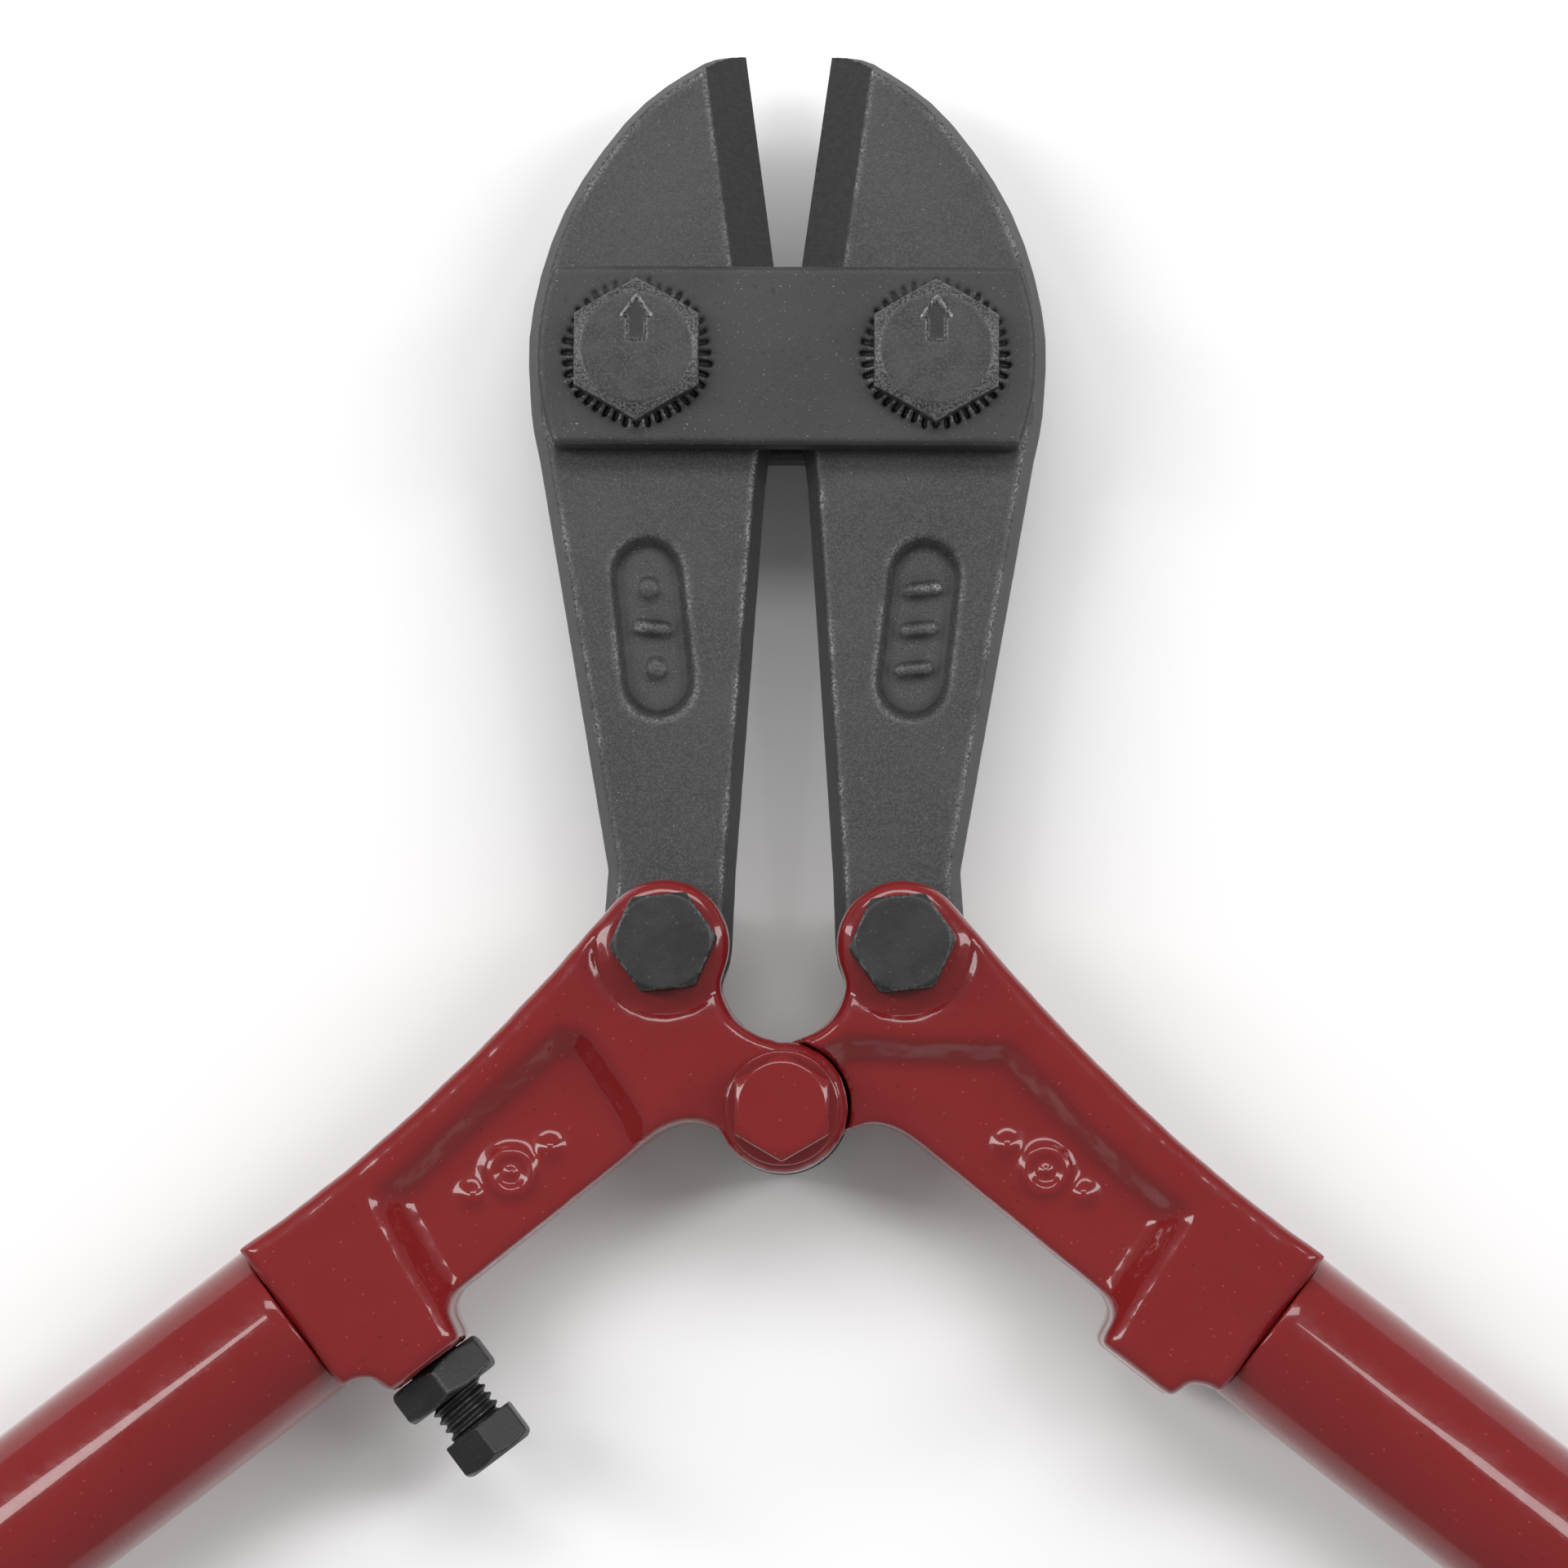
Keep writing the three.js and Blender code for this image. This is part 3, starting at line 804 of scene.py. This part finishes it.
def make_washer(node, body, hole, material=OXIDE, slot="black_oxide"):
    """A washer in its CAD node's box, with rounded rims. hole is its hole's radius in millimetres."""
    low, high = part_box(node)
    centre = (low + high) / 2
    outer = (high.x - low.x) / 2
    lift = 0.25 * MM
    profile = [
        (low.z, hole * MM), (low.z, outer - lift), (low.z + lift, outer), (high.z - lift, outer),
        (high.z, outer - lift), (high.z, hole * MM),
    ]
    piece = lathe(f"{node}_stamped", profile, 96, upright(centre.x, centre.y))
    voxels(piece, FASTENER_VOXEL)
    relax(piece, 2)
    store_wear(piece, FASTENER_VOXEL, 0.06, 0.14)
    present(piece, material, node, body, slot)


def threaded_rod(name, radius, depth, pitch, low, high, place):
    """A rod with a right-handed thread along the place matrix's Z axis, its ends chamfered."""
    sides, per_turn = 48, 12
    crest = 0.12  # how much of the pitch is crest, and how much root
    count = round((high - low) / pitch * per_turn)
    vertices = [place @ Vector((0, 0, low))]
    for step in range(count + 1):
        along = low + (high - low) * step / count
        end = min(along - low, high - along)
        for i in range(sides):
            turn = (along / pitch - i / sides) % 1
            valley = min(max((abs(2 * turn - 1) - crest) / (1 - 2 * crest), 0), 1)
            reach = min(radius - depth * valley, radius - depth + end)
            angle = 2 * math.pi * i / sides
            vertices.append(place @ Vector((reach * math.cos(angle), reach * math.sin(angle), along)))
    vertices.append(place @ Vector((0, 0, high)))
    faces = []
    for i in range(sides):
        j = (i + 1) % sides
        faces.append([0, 1 + j, 1 + i])
        faces.append([len(vertices) - 1, 1 + count * sides + i, 1 + count * sides + j])
        for step in range(count):
            base = 1 + step * sides
            faces.append([base + i, base + j, base + sides + j, base + sides + i])
    return from_lists(name, vertices, faces)


def stop_place():
    """Along the stop screw: Z runs from the left tube's axis towards the other handle."""
    boss = 55.8 * MM  # along the tube's axis
    return tube_place("left", boss) @ Matrix.Rotation(math.radians(90), 4, "X")


def hexagon(flats):
    """A hexagon's outline, flats across its flats."""
    corner = flats / 2 / math.cos(math.pi / 6)
    return [(corner * math.cos(math.pi / 3 * i), corner * math.sin(math.pi / 3 * i)) for i in range(6)]


def make_stop_screw():
    place = stop_place()
    height = 5 * MM
    high = 30.1 * MM
    low = high - height
    flats, top, bottom, wide = 9.8 * MM, 4.3 * MM, 5.3 * MM, 6 * MM
    radius, depth, pitch, length = 3.9 * MM, 0.75 * MM, 1.25 * MM, 20 * MM
    head = prism("stop_screw_adjuster", hexagon(flats), low, high, place)
    combine(head, chamfer(place, low, high, top, bottom, wide), "INTERSECT")
    join(head, threaded_rod("rod", radius, depth, pitch, low - length, low + MM, place))
    voxels(head, SCREW_VOXEL)
    relax(head, 1)
    store_wear(head, SCREW_VOXEL, 0.1, 0.2)
    present(head, OXIDE, "stop_screw", "stop_screw", "black_oxide")


def make_lock_nut():
    place = stop_place()
    low, high = 15.5 * MM, 20.3 * MM
    flats, end, wide, hole = 13 * MM, 6.2 * MM, 8 * MM, 4.1 * MM
    nut = prism("stop_lock_nut_machined", hexagon(flats), low, high, place)
    combine(nut, chamfer(place, low, high, end, end, wide), "INTERSECT")
    bore = [(low - MM, 0), (low - MM, hole), (high + MM, hole), (high + MM, 0)]
    combine(nut, lathe("bore", bore, 48, place), "DIFFERENCE")
    voxels(nut, NUT_VOXEL)
    relax(nut, 2)
    store_wear(nut, NUT_VOXEL, 0.06, 0.14)
    present(nut, OXIDE, "stop_lock_nut", "left_handle", "black_oxide")


# ---------------------------------------------------------------- tubes and grips

# Along the tube's axis
TUBE_START, TUBE_END = SOCKET_END + 0.1 * MM, 335 * MM
GRIP_START, GRIP_END = 223 * MM, 343 * MM


def make_tube(side):
    """A drawn steel tube under gloss paint, its ends rolled in a little."""
    wall, lip = 1.5 * MM, 0.3 * MM
    outer, inner = TUBE_RADIUS, TUBE_RADIUS - wall
    profile = [(TUBE_START + lip, inner), (TUBE_START, inner + lip / 2), (TUBE_START, outer - lip)]
    profile += [(TUBE_START + lip * 0.3, outer - lip * 0.3), (TUBE_START + lip, outer)]
    steps = 90
    start = TUBE_START + 2 * MM
    profile += [(start + (TUBE_END - start - MM) * i / steps, outer) for i in range(steps + 1)]
    profile += [(TUBE_END, outer - lip), (TUBE_END, inner + lip / 2), (TUBE_END - lip, inner)]
    tube = lathe(f"{side}_tube_drawn", profile, 96, tube_place(side))
    roughen(tube, 12 * MM, 0.08 * MM)
    present(tube, PAINT, f"{side}_tube", f"{side}_handle", "red_paint")


def grip_radius(along):
    """The grip's outer radius, from its guard at along = 0 to its rounded knob."""
    length = GRIP_END - GRIP_START
    body = 14.5 * MM
    guard = 2.95 * MM * math.exp(-(((along - 3.2 * MM) / (3.4 * MM)) ** 4))
    knob = 1.2 * MM * math.exp(-(((along - length + 8 * MM) / (8 * MM)) ** 2))
    swell = 0.35 * MM * math.sin(math.pi * min(max((along - 12 * MM) / (length - 30 * MM), 0), 1))
    radius = body + guard + knob + swell
    pitch, groove = 3.6 * MM, 0.9 * MM
    first, last = 16 * MM, length - 24 * MM
    if first < along < last:
        phase = ((along - first) / pitch) % 1
        radius -= groove * math.exp(-(((phase - 0.5) / 0.16) ** 2))
    end = length - along
    round_end, draw_in = 6 * MM, 5.5 * MM
    if end < round_end:
        radius -= draw_in * (1 - math.sqrt(max(1 - (1 - end / round_end) ** 2, 0)))
    return radius


def make_grip(side):
    """A moulded rubber grip with a guard, finger ribs and a closed knob."""
    length = GRIP_END - GRIP_START
    gap = 0.3 * MM
    bore = TUBE_RADIUS + gap
    widest = 17.5 * MM
    dimple_radius, dimple_floor, dimple_depth = 6 * MM, 5.2 * MM, 0.8 * MM
    steps = 400
    profile = [(GRIP_START, bore), (GRIP_START, 16 * MM), (GRIP_START + 0.5 * MM, 16.9 * MM)]
    for i in range(1, steps + 1):
        along = length * i / steps
        profile.append((GRIP_START + along, min(grip_radius(along), widest)))
    profile += [(GRIP_END, dimple_radius), (GRIP_END - dimple_depth, dimple_floor)]
    profile += [(GRIP_END - dimple_depth, 0), (TUBE_END + gap, 0), (TUBE_END + gap, bore)]
    grip = lathe(f"{side}_grip_moulding", profile, 112, tube_place(side))
    present(grip, RUBBER, f"{side}_grip", f"{side}_handle", "grip_rubber")


# ---------------------------------------------------------------- the object

for side in SIGN:
    make_jaw(side)
    make_bracket(side)
    make_tube(side)
    make_grip(side)
    make_fastener(f"{side}_jaw_bolt", "head", top=7.1, bottom=4.2, material=FORGED_BOLT, arrow=True)
    make_fastener(f"{side}_jaw_nut", "head", top=7.8, bottom=7.6)
    make_washer(f"{side}_jaw_washer", "head", hole=5.4)
    make_fastener(f"{side}_tail_bolt", f"{side}_handle", top=6.0, bottom=3.0)
    make_fastener(f"{side}_tail_nut", f"{side}_handle", top=5.8, bottom=5.7)
make_plate("front_side_plate", notched=True)
make_plate("rear_side_plate", notched=False)
painted = {"material": PAINT, "slot": "red_paint"}
make_fastener("centre_pivot_bolt", "left_handle", top=5.6, bottom=2.8, soft=7, **painted)
make_washer("centre_pivot_washer", "left_handle", hole=3.6, **painted)
make_washer("centre_rear_washer", "left_handle", hole=3.6)
make_fastener("centre_pivot_nut", "left_handle", top=5.8, bottom=5.7)
make_stop_screw()
make_lock_nut()


# ---------------------------------------------------------------- floor, light and camera

def make_floor():
    half, below = 3.0, 0.3 * MM
    corners = [(-half, -half, 0), (half, -half, 0), (half, half, 0), (-half, half, 0)]
    floor = from_lists("floor", corners, [[0, 1, 2, 3]])
    floor.location.z = -below
    floor.data.materials.append(floor_finish())


def area_light(name, place, target, size, power):
    """A softbox that faces a target."""
    light = bpy.data.lights.new(name, "AREA")
    light.shape = "RECTANGLE"
    light.size, light.size_y = size
    light.energy = power
    lamp = bpy.data.objects.new(name, light)
    lamp.location = place
    lamp.rotation_euler = (Vector(target) - Vector(place)).to_track_quat("-Z", "Y").to_euler()
    bpy.context.scene.collection.objects.link(lamp)


def make_camera():
    """Looks down on the head, tilted a little towards the blades."""
    camera = bpy.data.cameras.new("camera")
    camera.sensor_width = 36
    camera.lens = 115.4
    viewer = bpy.data.objects.new("camera", camera)
    height = 650 * MM
    place = Vector((6.6 * MM, -6.9 * MM, MID + height))
    tilt = Matrix.Rotation(math.radians(4.3), 4, "X")
    pan = Matrix.Rotation(math.radians(0.59), 4, "Y")
    roll = Matrix.Rotation(math.radians(0.28), 4, "Z")
    viewer.matrix_world = Matrix.Translation(place) @ tilt @ pan @ roll
    bpy.context.scene.collection.objects.link(viewer)
    bpy.context.scene.camera = viewer


def light_scene():
    world = bpy.data.worlds.new("studio")
    world.use_nodes = True
    sky = world.node_tree.nodes["Background"]
    sky.inputs["Color"].default_value = (1, 1, 1, 1)
    sky.inputs["Strength"].default_value = 0.36
    bpy.context.scene.world = world
    centre = (0, 0.03, 0)
    area_light("left_softbox", (-0.75, 0.25, 0.8), centre, (0.22, 0.9), 5.7)
    area_light("right_softbox", (0.75, 0.25, 0.8), centre, (0.22, 0.9), 5.0)
    area_light("top_softbox", (0, 0.68, 1.1), centre, (1.0, 0.26), 5.9)
    bpy.context.scene.view_settings.view_transform = "Standard"


make_floor()
make_camera()
light_scene()
